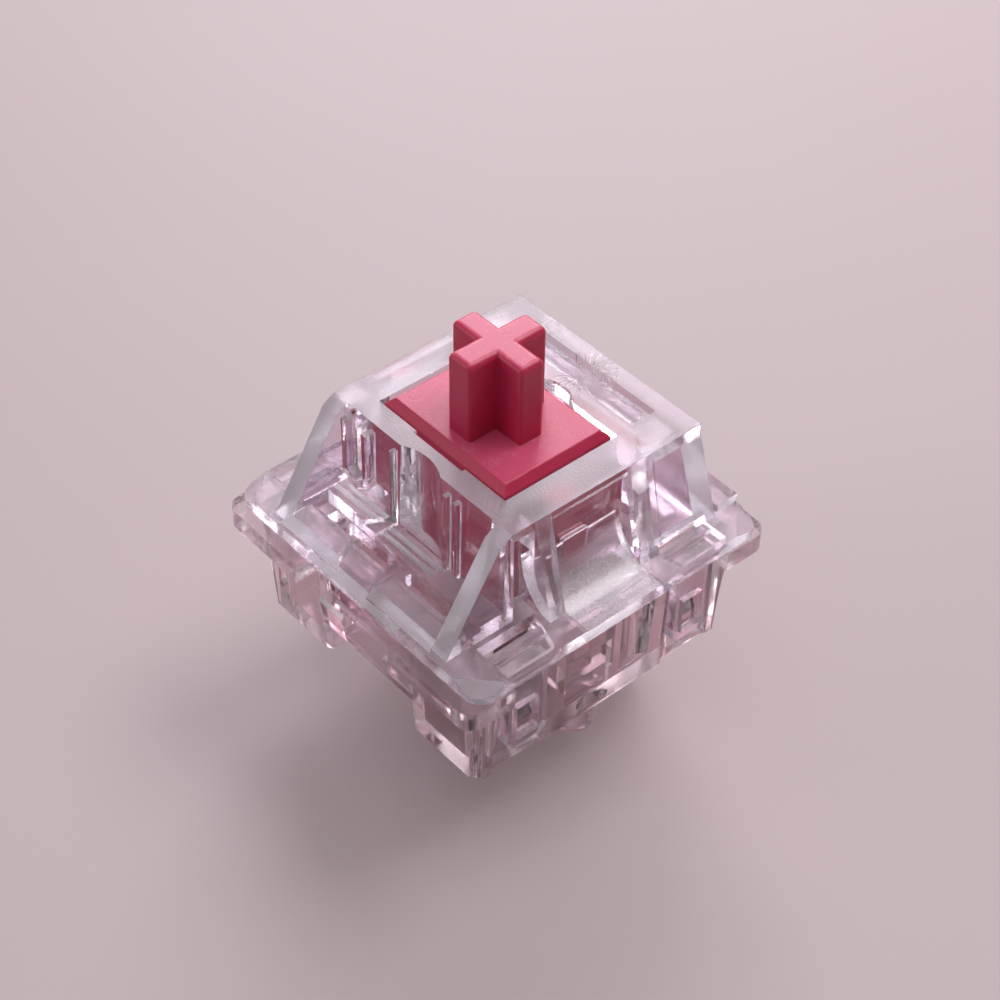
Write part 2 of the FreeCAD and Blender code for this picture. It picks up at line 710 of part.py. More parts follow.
def back_wall():
    low = UPPER_FLANGE_FOOT + ROOT
    slab = along_x(
        [
            (back_reach(low), low),
            (back_reach(HOUSING_TOP), HOUSING_TOP),
            (back_reach(HOUSING_TOP) - WALL, HOUSING_TOP),
            (back_reach(low) - WALL, low),
        ],
        -FLANGE_SIDE,
        FLANGE_SIDE,
    )
    outline = along_y(
        [
            (side_reach(low) - BACK_CORNER_STEP, low),
            (side_reach(HOUSING_TOP) - BACK_CORNER_STEP, HOUSING_TOP),
            (BACK_CORNER_STEP - side_reach(HOUSING_TOP), HOUSING_TOP),
            (BACK_CORNER_STEP - side_reach(low), low),
        ],
        0,
        FLANGE_SIDE,
    )
    return slab.common(outline)


def scoop_room(set_back):
    """The room outside a scooped panel: beside it above, and over its foot's curve below."""
    radius = PANEL_SCOOP_RADIUS + set_back
    face = PANEL_FACE - set_back
    high = HOUSING_TOP - RING_THICKNESS
    axis_x = PANEL_FACE + PANEL_SCOOP_RADIUS
    axis_z = SCOOP_FOOT + PANEL_SCOOP_RADIUS
    low = axis_z - radius
    middle = radius * math.sqrt(0.5)
    y = FRONT_STRUT[1]
    edges = [
        Part.LineSegment(V(face, y, high), V(face, y, axis_z)).toShape(),
        Part.Arc(
            V(face, y, axis_z), V(axis_x - middle, y, axis_z - middle), V(axis_x, y, low)
        ).toShape(),
        Part.LineSegment(V(axis_x, y, low), V(FLANGE_SIDE, y, low)).toShape(),
        Part.LineSegment(V(FLANGE_SIDE, y, low), V(FLANGE_SIDE, y, high)).toShape(),
        Part.LineSegment(V(FLANGE_SIDE, y, high), V(face, y, high)).toShape(),
    ]
    return face_of(edges).extrude(V(0, BACK_STRUT[0] - FRONT_STRUT[1], 0))


def scooped_panel():
    """The closed middle of a side: upright above, then curving out to the flange."""
    end = PANEL_FACE + PANEL_SCOOP_RADIUS
    span = (FRONT_STRUT[1], BACK_STRUT[0])
    panel = scoop_room(PANEL_THICKNESS).cut(scoop_room(0))
    return panel.common(block((0, end), span, (UPPER_FLANGE_FOOT, HOUSING_TOP)))


def panel_hollow():
    """The room behind a scooped panel, open to the flange's underside."""
    inner = PANEL_FACE - PANEL_THICKNESS
    axis_z = SCOOP_FOOT + PANEL_SCOOP_RADIUS
    span = (FRONT_STRUT[1], BACK_STRUT[0])
    height = (FLANGE_JOINT - OVERRUN, axis_z)
    room = block((inner, PANEL_FACE + PANEL_SCOOP_RADIUS), span, height)
    return room.cut(scoop_room(PANEL_THICKNESS))


def struts():
    """The two sloping ribs beside each scooped panel."""
    shapes = []
    low = UPPER_FLANGE_FOOT + ROOT
    inner = SHAFT_HALF_LENGTH - ROOT
    outline = [
        (inner, HOUSING_TOP),
        (side_reach(HOUSING_TOP), HOUSING_TOP),
        (side_reach(low), low),
        (inner, low),
    ]
    for span in (FRONT_STRUT, BACK_STRUT):
        shapes += both_sides(along_y(outline, span[0], span[1]))
    return shapes


def upper_flange():
    """The flange plate with its corners dropped and its front edge bevelled."""
    middle = (UPPER_FLANGE_BACK - UPPER_FLANGE_FRONT) / 2
    half_y = (UPPER_FLANGE_BACK + UPPER_FLANGE_FRONT) / 2
    half_x = UPPER_FLANGE_HALF
    height = (UPPER_FLANGE_FOOT, UPPER_FLANGE_TOP)
    plate = rounded_block(half_x, half_y, UPPER_CORNER_RADIUS, height)
    reach = CORNER_DROP_LENGTH
    normal = V(CORNER_DROP, CORNER_DROP, reach)
    wide = 4 * reach
    cutter = Part.makeBox(wide, wide, wide, V(-wide / 2, -wide / 2, 0))
    cutter.Placement = FreeCAD.Placement(
        V(half_x, half_y - reach, UPPER_FLANGE_TOP), FreeCAD.Rotation(V(0, 0, 1), normal)
    )
    plate = plate.cut(four_ways(cutter)).translated(V(0, middle, 0))
    front = -UPPER_FLANGE_FRONT
    low = UPPER_FLANGE_TOP - FRONT_BEVEL
    bevel = along_x(
        [(front + FRONT_BEVEL, UPPER_FLANGE_TOP), (front, low), (front, UPPER_FLANGE_TOP)],
        -FRONT_BEVEL_HALF_LENGTH,
        FRONT_BEVEL_HALF_LENGTH,
    )
    return plate.cut(bevel)


def flange_pads():
    """The two raised pads in front, with a sloping face and a slanted end."""
    pads = []
    low = UPPER_FLANGE_TOP - ROOT
    for left, right in PAD_SPANS:
        bar = along_x(
            [
                (-PAD_BACK, low),
                (-PAD_BACK, PAD_TOP),
                (-PAD_FRONT, PAD_TOP),
                (-PAD_FRONT - PAD_TOE, UPPER_FLANGE_TOP),
                (-PAD_FRONT - PAD_TOE, low),
            ],
            left,
            right,
        )
        slanted = along_z(
            [
                (right, -PAD_BACK + OVERRUN),
                (right - PAD_END_SLANT, -PAD_BACK),
                (right, -PAD_FRONT - PAD_TOE),
                (right + OVERRUN, -PAD_FRONT),
            ],
            low,
            PAD_TOP + OVERRUN,
        )
        pads.append(bar.cut(slanted) if left < 0 else bar)
    return pads


def back_ledge():
    return block(
        (-BACK_LEDGE_HALF_LENGTH, BACK_LEDGE_HALF_LENGTH),
        (UPPER_FLANGE_BACK - BACK_LEDGE_DEPTH, UPPER_FLANGE_BACK),
        (UPPER_FLANGE_TOP - ROOT, BACK_LEDGE_TOP),
    )


def sill():
    """The long stepped bar between the shaft's front wall and the light slots."""
    low = UPPER_FLANGE_FOOT + ROOT
    depth = (-SILL_FRONT, -SHAFT_FRONT + ROOT)
    high = block((-SILL_HALF_LENGTH, SILL_STEP_X), depth, (low, SILL_TOP))
    ledge = block((SILL_STEP_X, SILL_HALF_LENGTH), depth, (low, SILL_LOW_TOP))
    grooves = []
    for distance in SILL_GROOVE_PLACES:
        place = -distance
        groove = along_x(
            [
                (place - SILL_GROOVE, SILL_TOP + 0.01),
                (place, SILL_TOP - SILL_GROOVE),
                (place + SILL_GROOVE, SILL_TOP + 0.01),
            ],
            -SILL_HALF_LENGTH,
            SILL_STEP_X,
        )
        grooves.append(groove)
        lower = groove.translated(V(SILL_HALF_LENGTH + SILL_STEP_X, 0, SILL_LOW_TOP - SILL_TOP))
        grooves.append(lower)
    return joined([high, ledge]).cut(grooves)


def light_slots():
    shapes = []
    height = (FLANGE_JOINT - OVERRUN, PAD_TOP + OVERRUN)
    for left, right in SLOT_SPANS:
        shapes.append(block((left, right), (-SLOT_FRONT, -SLOT_BACK), height))
    return shapes


def latch_legs():
    """The four windowed legs that hang from the flange, bevelled at the foot."""
    half = LATCH_WIDTH / 2
    bevel = LATCH_EDGE_BEVEL
    centre = LATCH_PLACE
    outline = along_x(
        [
            (centre - half, UPPER_FLANGE_FOOT + ROOT),
            (centre - half, LATCH_FOOT + bevel),
            (centre - half + bevel, LATCH_FOOT),
            (centre + half - bevel, LATCH_FOOT),
            (centre + half, LATCH_FOOT + bevel),
            (centre + half, UPPER_FLANGE_FOOT + ROOT),
        ],
        LATCH_INNER,
        LATCH_OUTER,
    )
    toe = along_y(
        [
            (LATCH_INNER, LATCH_FOOT),
            (LATCH_INNER, LATCH_FOOT + bevel),
            (LATCH_INNER + LATCH_TOE_BEVEL, LATCH_FOOT),
        ],
        centre - half,
        centre + half,
    )
    window_half = LATCH_WINDOW_WIDTH / 2
    window = block((0, FLANGE_SIDE), (centre - window_half, centre + window_half), LATCH_WINDOW)
    return four_ways(outline.cut([toe, window]))


def latch_pockets():
    """The sunk pockets over the legs, each with a slot for the opening tool."""
    half = LATCH_POCKET_HALF
    centre = LATCH_PLACE
    pocket = along_z(
        [
            (TOOL_SLOT[0], centre - half - LATCH_POCKET_SLANT),
            (LATCH_POCKET_OUTER, centre - half + LATCH_POCKET_SLANT),
            (LATCH_POCKET_OUTER, centre + half),
            (TOOL_SLOT[0], centre + half),
        ],
        LATCH_POCKET_FLOOR,
        PAD_TOP,
    )
    bar = block(
        (TOOL_SLOT[1], TOOL_SLOT[1] + LATCH_BAR_WIDTH),
        (centre - half - OVERRUN, centre + half + OVERRUN),
        (LATCH_POCKET_FLOOR - ROOT, LATCH_BAR_TOP),
    )
    height = (FLANGE_JOINT - OVERRUN, PAD_TOP)
    slot = block(TOOL_SLOT, (centre - TOOL_SLOT_HALF, centre + half), height)
    return four_ways(pocket.cut(bar)) + four_ways(slot)


def light_channel():
    """The half-round upright channel in front of the shaft, which also notches the ring."""
    axis_y = -SHAFT_FRONT - LIGHT_CHANNEL_RADIUS + LIGHT_CHANNEL_DEPTH
    return post(2 * LIGHT_CHANNEL_RADIUS, LIGHT_CHANNEL_FOOT, HOUSING_TOP + OVERRUN, 0, axis_y)


def stem_opening():
    """The opening for the stem, its reliefs, and the grooves for the stem's rails."""
    through = (FLANGE_JOINT - OVERRUN, HOUSING_TOP + OVERRUN)
    opening = block(
        (-OPENING_HALF_LENGTH, OPENING_HALF_LENGTH), (-OPENING_FRONT, OPENING_BACK), through
    )
    relief = block(
        (-RELIEF_HALF_LENGTH, RELIEF_HALF_LENGTH),
        (-OPENING_FRONT - RELIEF_DEPTH, -OPENING_FRONT + ROOT),
        through,
    )
    moon_axis = OPENING_BACK + HALF_MOON_DEPTH - HALF_MOON_RADIUS
    moon = post(2 * HALF_MOON_RADIUS, through[0], through[1], HALF_MOON_X, moon_axis)
    half = RAIL_WIDTH / 2 + SLIDE_CLEARANCE
    groove = block(
        (0, RAIL_REACH + SLIDE_CLEARANCE), (-half, half), (through[0], RAIL_TOP + SEAT_GAP)
    )
    return [opening, relief, moon] + both_sides(groove)


def contact_room():
    """The room behind the shaft that the contact strips and cam legs work in."""
    wide = CONTACT_ROOM_HALF_LENGTH
    deep = back_reach(CONTACT_ROOM_TOP) - WALL
    height = (FLANGE_JOINT - OVERRUN, CONTACT_ROOM_TOP)
    return block((-wide, wide), (OPENING_BACK - ROOT, deep), height)


def back_trough():
    """The long shallow trough in the ring, behind the stem."""
    middle = (OPENING_BACK + WALL + RING_BACK - BACK_RIM_WIDTH) / 2
    half = (RING_BACK - BACK_RIM_WIDTH - OPENING_BACK - WALL) / 2
    axis = HOUSING_TOP - BACK_TROUGH_DEPTH + BACK_TROUGH_RADIUS
    length = 2 * BACK_TROUGH_HALF_LENGTH
    scoop = Part.makeCylinder(
        BACK_TROUGH_RADIUS, length, V(-BACK_TROUGH_HALF_LENGTH, middle, axis), V(1, 0, 0)
    )
    limits = block(
        (-BACK_TROUGH_HALF_LENGTH, BACK_TROUGH_HALF_LENGTH),
        (middle - half, middle + half),
        (0, HOUSING_TOP + OVERRUN),
    )
    return scoop.common(limits)


def insert_outline():
    """The fine step round the moulding insert at the foot of each scooped panel."""
    inner = PANEL_FACE + PANEL_SCOOP_RADIUS - ROOT
    outer = UPPER_FLANGE_HALF - INSERT_EDGE
    front, back = FRONT_STRUT[1], BACK_STRUT[0]
    corners = [
        (inner, front),
        (outer, front + INSERT_SLANT),
        (outer, back - INSERT_EDGE),
        (inner, back),
    ]
    plate = along_z(corners, SCOOP_FOOT - INSERT_STEP, UPPER_FLANGE_TOP + OVERRUN)
    return both_sides(plate)


def upper_housing():
    walls = corner_ribs() + back_corners() + struts() + [back_wall()] + ring()
    walls += shaft() + shaft_front_ribs()
    base = [upper_flange(), sill(), back_ledge()] + flange_pads() + latch_legs()
    shape = joined(base + walls)
    shape = shape.cut(both_sides(scoop_room(0)) + both_sides(panel_hollow()))
    shape = shape.fuse(both_sides(scooped_panel())).removeSplitter()
    cuts = light_slots() + latch_pockets() + stem_opening() + insert_outline()
    cuts += [light_channel(), contact_room(), back_trough()]
    return shape.cut(cuts).removeSplitter()


def stem_cross():
    """The cross that a key cap pushes onto, with rounded top edges and outer corners."""
    low = PLATFORM_TOP - PLATFORM_BEVEL
    half_x = CROSS_SPAN_X / 2
    half_y = CROSS_SPAN_Y / 2
    height = (low, STEM_TOP)
    long_arm = block((-half_x, half_x), (-CROSS_ARM_X / 2, CROSS_ARM_X / 2), height)
    short_arm = block((-CROSS_ARM_Y / 2, CROSS_ARM_Y / 2), (-half_y, half_y), height)
    cross = joined([long_arm, short_arm])
    inner = CROSS_ARM_Y / 2 + CROSS_ARM_X / 2 + ROOT
    upright = []
    for edge in cross.Edges:
        box = edge.BoundBox
        if box.ZLength > STEM_TRAVEL / 2 and abs(box.XMin) + abs(box.YMin) > inner:
            upright.append(edge)
    cross = cross.makeFillet(CROSS_SIDE_RADIUS, upright)
    top_edges = [edge for edge in cross.Edges if edge.BoundBox.ZMin > STEM_TOP - ROOT]
    return cross.makeFillet(CROSS_TOP_RADIUS, top_edges)


def cam_legs():
    """Two legs behind the skirt, stepped so that the contact closes part way down."""
    root = SKIRT_WIDTH / 2 - CAM_LEG_ROOT
    step = STEM_FOOT + CAM_STEP_HEIGHT
    outline = [
        (root, STEM_FOOT),
        (CAM_LEG_REACH - CAM_RAMP_HEIGHT / 2, STEM_FOOT),
        (CAM_LEG_REACH, STEM_FOOT + CAM_RAMP_HEIGHT / 2),
        (CAM_LEG_REACH, step),
        (CAM_LEG_TOP_REACH, step + CAM_RAMP_HEIGHT),
        (CAM_LEG_TOP_REACH, RAIL_TOP - STOP_CLEARANCE),
        (root, RAIL_TOP - STOP_CLEARANCE),
    ]
    return both_sides(along_x(outline, CAM_LEG_INNER, CAM_LEG_INNER + CAM_LEG_WIDTH))


def centre_pole():
    radius = POLE_DIAMETER / 2
    return turned([
        (0, POLE_TIP),
        (radius - POLE_TIP_BEVEL, POLE_TIP),
        (radius, POLE_TIP + POLE_TIP_BEVEL),
        (radius, SPRING_ROOM_TOP + ROOT),
        (0, SPRING_ROOM_TOP + ROOT),
    ])


def stem():
    half_x = PLATFORM_LENGTH / 2
    half_y = PLATFORM_WIDTH / 2
    low = PLATFORM_TOP - PLATFORM_HEIGHT
    platform = block((-half_x, half_x), (-half_y, half_y), (low, PLATFORM_TOP))
    top_edges = [edge for edge in platform.Edges if edge.BoundBox.ZMin > PLATFORM_TOP - SEAT_GAP]
    platform = platform.makeChamfer(PLATFORM_BEVEL, top_edges)
    skirt = rounded_block(
        SKIRT_LENGTH / 2, SKIRT_WIDTH / 2, SKIRT_CORNER_RADIUS, (STEM_FOOT, low + ROOT)
    )
    rail_x = (SKIRT_LENGTH / 2 - ROOT, RAIL_REACH)
    rail = block(rail_x, (-RAIL_WIDTH / 2, RAIL_WIDTH / 2), (STEM_FOOT, RAIL_TOP))
    shape = joined([platform, skirt, stem_cross()] + both_sides(rail) + cam_legs())
    room = post(SPRING_ROOM_DIAMETER, STEM_FOOT - OVERRUN, SPRING_ROOM_TOP)
    return shape.cut(room).fuse(centre_pole()).removeSplitter()


def return_spring():
    """A helix between the floor and the stem. The wire has a few flats in place of a full round."""
    radius = (SPRING_DIAMETER - WIRE_DIAMETER) / 2
    low = FLOOR_THICKNESS + WIRE_DIAMETER / 2 + SEAT_GAP
    high = SPRING_ROOM_TOP - WIRE_DIAMETER / 2 - SEAT_GAP
    pitch = (high - low) / SPRING_TURNS
    path = Part.makeHelix(pitch, high - low, radius)
    path.translate(V(0, 0, low))
    along = V(0, 2 * math.pi * radius, pitch).normalize()
    outward = V(1, 0, 0)
    upward = outward.cross(along)
    corners = []
    for index in range(WIRE_FLATS):
        angle = 2 * math.pi * index / WIRE_FLATS
        reach = outward * math.cos(angle) + upward * math.sin(angle)
        corners.append(V(radius, 0, low) + reach * (WIRE_DIAMETER / 2))
    sweep = Part.BRepOffsetAPI.MakePipeShell(Part.Wire(path.Edges))
    sweep.setFrenetMode(True)
    sweep.add(Part.makePolygon(corners + corners[:1]))
    sweep.build()
    sweep.makeSolid()
    return sweep.shape()


def contact_pin(place, top):
    """A flat solder pin with a tapered tip."""
    x, y = place
    half = PIN_WIDTH / 2
    tip = PIN_TIP_WIDTH / 2
    shoulder = -PIN_LENGTH + PIN_TIP_LENGTH
    outline = [
        (x - half, top),
        (x - half, shoulder),
        (x - tip, -PIN_LENGTH),
        (x + tip, -PIN_LENGTH),
        (x + half, shoulder),
        (x + half, top),
    ]
    return along_y(outline, y - STRIP_THICKNESS / 2, y + STRIP_THICKNESS / 2)


def contact_blade():
    """The fixed contact: pin, a jog towards the back, and an upright plate with a narrow head."""
    x, y = BLADE_PIN
    half = PIN_WIDTH / 2
    skin = STRIP_THICKNESS / 2
    low = BLADE_FOOT - STRIP_THICKNESS
    jog = block((x - half, x + half), (y - skin, BLADE_PLANE + skin), (low, BLADE_FOOT))
    head = BLADE_HEAD_HALF
    outline = [
        (BLADE_LEFT, low),
        (x + half, low),
        (x + half, BLADE_FOOT + BLADE_BASE_HEIGHT),
        (head, BLADE_FOOT + BLADE_BASE_HEIGHT),
        (head, BLADE_TOP),
        (-head, BLADE_TOP),
        (-head, BLADE_SHOULDER),
        (BLADE_LEFT, BLADE_SHOULDER),
    ]
    plate = along_y(outline, BLADE_PLANE - skin, BLADE_PLANE + skin)
    return joined([contact_pin(BLADE_PIN, low + skin), jog, plate])


def leaf_tine(place):
    """A finger of the leaf, bent in so that its elbow bears on the stem's cam leg."""
    skin = STRIP_THICKNESS / 2
    front = LEAF_FRONT_PLANE - skin
    elbow = CAM_LEG_REACH + TINE_BUMP_GAP
    high = LEAF_SPRING_TOP - TINE_BEND
    middle = CONTACT_HEIGHT - TINE_HEEL
    foot = LEAF_ARM_FOOT - TINE_HEEL
    slanted = STRIP_THICKNESS * (1 + POINT_RIDGE_SHARE)
    outline = [
        (front, high),
        (front + STRIP_THICKNESS, high),
        (elbow + slanted, middle),
        (front, foot),
        (front - slanted, foot),
        (elbow, middle),
    ]
    return along_x(outline, place - TINE_WIDTH / 2, place + TINE_WIDTH / 2)


def contact_leaf():
    """The springy contact: pin, upright back plate, a fold at its left edge and the forked arm."""
    skin = STRIP_THICKNESS / 2
    x, y = LEAF_PIN
    back_outline = [
        (LEAF_LEFT, LEAF_FOOT),
        (LEAF_RIGHT, LEAF_FOOT),
        (LEAF_RIGHT, LEAF_WAIST_TOP),
        (LEAF_LEFT + LEAF_WAIST_WIDTH, LEAF_WAIST_TOP + LEAF_WAIST_SLANT),
        (LEAF_LEFT + LEAF_WAIST_WIDTH, LEAF_SPRING_TOP),
        (LEAF_LEFT, LEAF_SPRING_TOP),
    ]
    back = along_y(back_outline, y - skin, y + skin)
    fold_radius = (y - LEAF_FRONT_PLANE) / 2
    fold_height = LEAF_SPRING_TOP - LEAF_ARM_FOOT - LEAF_FOLD_RISE
    fold_low = LEAF_SPRING_TOP - fold_height
    axis = V(LEAF_LEFT, (y + LEAF_FRONT_PLANE) / 2, fold_low)
    tube = Part.makeCylinder(fold_radius + skin, fold_height, axis)
    tube = tube.cut(Part.makeCylinder(fold_radius - skin, fold_height, axis))
    fold_room = block((LEAF_LEFT - OVERRUN, LEAF_LEFT), (0, FLANGE_SIDE), (0, HOUSING_TOP))
    fold = tube.common(fold_room)
    end = TINE_PLACE + TINE_WIDTH / 2
    arm = block(
        (LEAF_LEFT, end),
        (LEAF_FRONT_PLANE - skin, LEAF_FRONT_PLANE + skin),
        (LEAF_SPRING_TOP - LEAF_ARM_WIDTH, LEAF_SPRING_TOP),
    )
    root = block(
        (LEAF_LEFT, LEAF_LEFT + LEAF_ROOT_WIDTH),
        (LEAF_FRONT_PLANE - skin, LEAF_FRONT_PLANE + skin),
        (fold_low, LEAF_SPRING_TOP),
    )
    tongue = block(
        (-POINT_WIDTH, POINT_WIDTH),
        (LEAF_FRONT_PLANE - skin, LEAF_FRONT_PLANE + skin),
        (LEAF_ARM_FOOT, LEAF_SPRING_TOP),
    )
    tines = [leaf_tine(-TINE_PLACE), leaf_tine(TINE_PLACE)]
    return joined([contact_pin(LEAF_PIN, LEAF_FOOT + skin), back, fold, arm, root, tongue] + tines)


def leaf_contact_point():
    """A ridged bar welded across the leaf's tongue, facing the blade."""
    face = LEAF_FRONT_PLANE - STRIP_THICKNESS / 2
    ridge = POINT_WIDTH / 2
    outline = [
        (-ridge, face),
        (-ridge * POINT_RIDGE_SHARE, face - POINT_THICKNESS),
        (ridge * POINT_RIDGE_SHARE, face - POINT_THICKNESS),
        (ridge, face),
    ]
    half = POINT_HEIGHT / 2
    return along_z(outline, CONTACT_HEIGHT - half, CONTACT_HEIGHT + half)


def blade_contact_point():
    """A ridged bar welded along the blade's head, crossing the leaf's bar."""
    face = BLADE_PLANE + STRIP_THICKNESS / 2
    ridge = POINT_WIDTH / 2
    outline = [
        (face, CONTACT_HEIGHT - ridge),
        (face + POINT_THICKNESS, CONTACT_HEIGHT - ridge * POINT_RIDGE_SHARE),
        (face + POINT_THICKNESS, CONTACT_HEIGHT + ridge * POINT_RIDGE_SHARE),
        (face, CONTACT_HEIGHT + ridge),
    ]
    half = POINT_HEIGHT / 2
    return along_x(outline, -half, half)


PIECES = {
    "lower_housing": lower_housing,
    "upper_housing": upper_housing,
    "stem": stem,
    "return_spring": return_spring,
    "contact_leaf": contact_leaf,
    "contact_blade": contact_blade,
    "leaf_contact_point": leaf_contact_point,
    "blade_contact_point": blade_contact_point,
}

os.makedirs("parts", exist_ok=True)
for name, make in PIECES.items():
    shape = make()
    box = shape.BoundBox
    print(
        name, "valid", shape.isValid(), "solids", len(shape.Solids), "volume", round(shape.Volume, 2),
        "x", round(box.XMin, 2), round(box.XMax, 2), "y", round(box.YMin, 2), round(box.YMax, 2),
        "z", round(box.ZMin, 2), round(box.ZMax, 2),
    )
    shape.exportStep(os.path.join("parts", name + ".step"))
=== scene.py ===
import math

import bmesh
import bpy
from mathutils import Matrix, Vector


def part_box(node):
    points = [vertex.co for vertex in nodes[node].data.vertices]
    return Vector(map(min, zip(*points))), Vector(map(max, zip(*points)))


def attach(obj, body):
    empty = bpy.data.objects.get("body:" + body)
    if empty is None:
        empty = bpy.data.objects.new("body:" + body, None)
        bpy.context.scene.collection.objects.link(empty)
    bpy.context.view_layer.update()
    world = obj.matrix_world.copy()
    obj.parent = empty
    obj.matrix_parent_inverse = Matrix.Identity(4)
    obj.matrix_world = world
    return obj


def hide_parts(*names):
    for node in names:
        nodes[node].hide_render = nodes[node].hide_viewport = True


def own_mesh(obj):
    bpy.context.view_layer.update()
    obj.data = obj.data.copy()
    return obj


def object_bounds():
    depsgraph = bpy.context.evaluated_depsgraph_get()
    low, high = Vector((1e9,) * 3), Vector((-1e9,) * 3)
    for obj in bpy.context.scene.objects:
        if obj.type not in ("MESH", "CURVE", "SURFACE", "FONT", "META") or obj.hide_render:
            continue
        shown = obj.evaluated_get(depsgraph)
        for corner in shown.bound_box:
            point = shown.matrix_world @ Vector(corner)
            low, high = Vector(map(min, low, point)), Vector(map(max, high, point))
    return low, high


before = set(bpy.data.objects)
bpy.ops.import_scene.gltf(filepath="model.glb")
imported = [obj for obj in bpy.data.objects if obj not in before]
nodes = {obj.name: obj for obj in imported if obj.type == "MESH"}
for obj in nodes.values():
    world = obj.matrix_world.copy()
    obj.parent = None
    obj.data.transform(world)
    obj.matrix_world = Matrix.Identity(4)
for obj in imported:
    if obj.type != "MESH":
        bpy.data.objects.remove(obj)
cad_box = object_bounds()
MM = 0.001

# Lower housing
# The clear polycarbonate tub that stands on the circuit board. It is one injection moulding, with
# polished walls, and carries the contact strips, the spring's seat and the board posts.


class Value:
    """An output of a shader node that can take part in sums."""

    def __init__(self, finish, socket):
        self.finish = finish
        self.socket = socket

    def __add__(self, other):
        return self.finish.maths("ADD", self, other)

    def __radd__(self, other):
        return self.finish.maths("ADD", other, self)

    def __sub__(self, other):
        return self.finish.maths("SUBTRACT", self, other)

    def __rsub__(self, other):
        return self.finish.maths("SUBTRACT", other, self)

    def __mul__(self, other):
        return self.finish.maths("MULTIPLY", self, other)

    def __rmul__(self, other):
        return self.finish.maths("MULTIPLY", other, self)


class Finish:
    """A material, or the light of a room, that is being put together from shader nodes."""

    def __init__(self, name, library=bpy.data.materials):
        self.made = library.new(name)
        self.made.use_nodes = True
        self.tree = self.made.node_tree
        self.tree.nodes.clear()

    def node(self, kind, settings, sockets, output=0):
        """Adds a node, makes its settings, fills its sockets and gives one of its outputs."""
        added = self.tree.nodes.new("ShaderNode" + kind)
        for key, value in settings.items():
            setattr(added, key, value)
        for key, value in sockets.items():
            if isinstance(value, Value):
                self.tree.links.new(value.socket, added.inputs[key])
            else:
                added.inputs[key].default_value = value
        return Value(self, added.outputs[output])

    def place(self):
        """The point on the piece, in metres in the row frame."""
        return self.node("TexCoord", {}, {}, "Object")

    def noise(self, size, detail=2.0, roughness=0.5):
        """Cloudy noise whose largest patches are about size across, in metres."""
        settings = {"noise_dimensions": "3D"}
        sockets = {"Vector": self.place(), "Scale": 1 / size, "Detail": detail, "Roughness": roughness}
        return self.node("TexNoise", settings, sockets)

    def span(self, value, low, high, to_low=0.0, to_high=1.0):
        """Maps low to high onto to_low to to_high, held at both ends."""
        sockets = {0: value, 1: low, 2: high, 3: to_low, 4: to_high}
        return self.node("MapRange", {"clamp": True}, sockets)

    def facing_up(self, low=0.75, high=0.95):
        """One on faces that look up, and nought on walls and undersides."""
        normal = self.node("TexCoord", {}, {}, "Normal")
        height = self.node("SeparateXYZ", {}, {0: normal}, "Z")
        return self.span(height, low, high)

    def along(self, axis):
        """How far along an axis of the row frame, in metres."""
        return self.node("SeparateXYZ", {}, {0: self.place()}, axis)

    def maths(self, operation, first, second=0.0):
        return self.node("Math", {"operation": operation}, {0: first, 1: second})

    def shade(self, sockets):
        return self.node("BsdfPrincipled", {}, sockets)

    def finished(self, shader, kind="Material"):
        surface = self.tree.nodes.new("ShaderNodeOutput" + kind)
        self.tree.links.new(shader.socket, surface.inputs["Surface"])
        return self.made


POLYCARBONATE_IOR = 1.58
LAMP_SHARE = 0.72
EDGE_RADIUS = 0.06 * MM
GRAIN_SIZE = 0.1 * MM
GRAIN_DEPTH = 0.004 * MM
FLOW_SIZE = 2.2 * MM
CLOUD_SIZE = 0.9 * MM
POLISHED = 0.02
FROSTED = 0.36
GRAIN_RELIEF = 5.0
FOLD_RELIEF = 5.0
FOLD_POLISH = 0.7
SATIN_POLISH = 0.35
BLOOM_COLOUR = (0.93, 0.9, 0.95, 1)


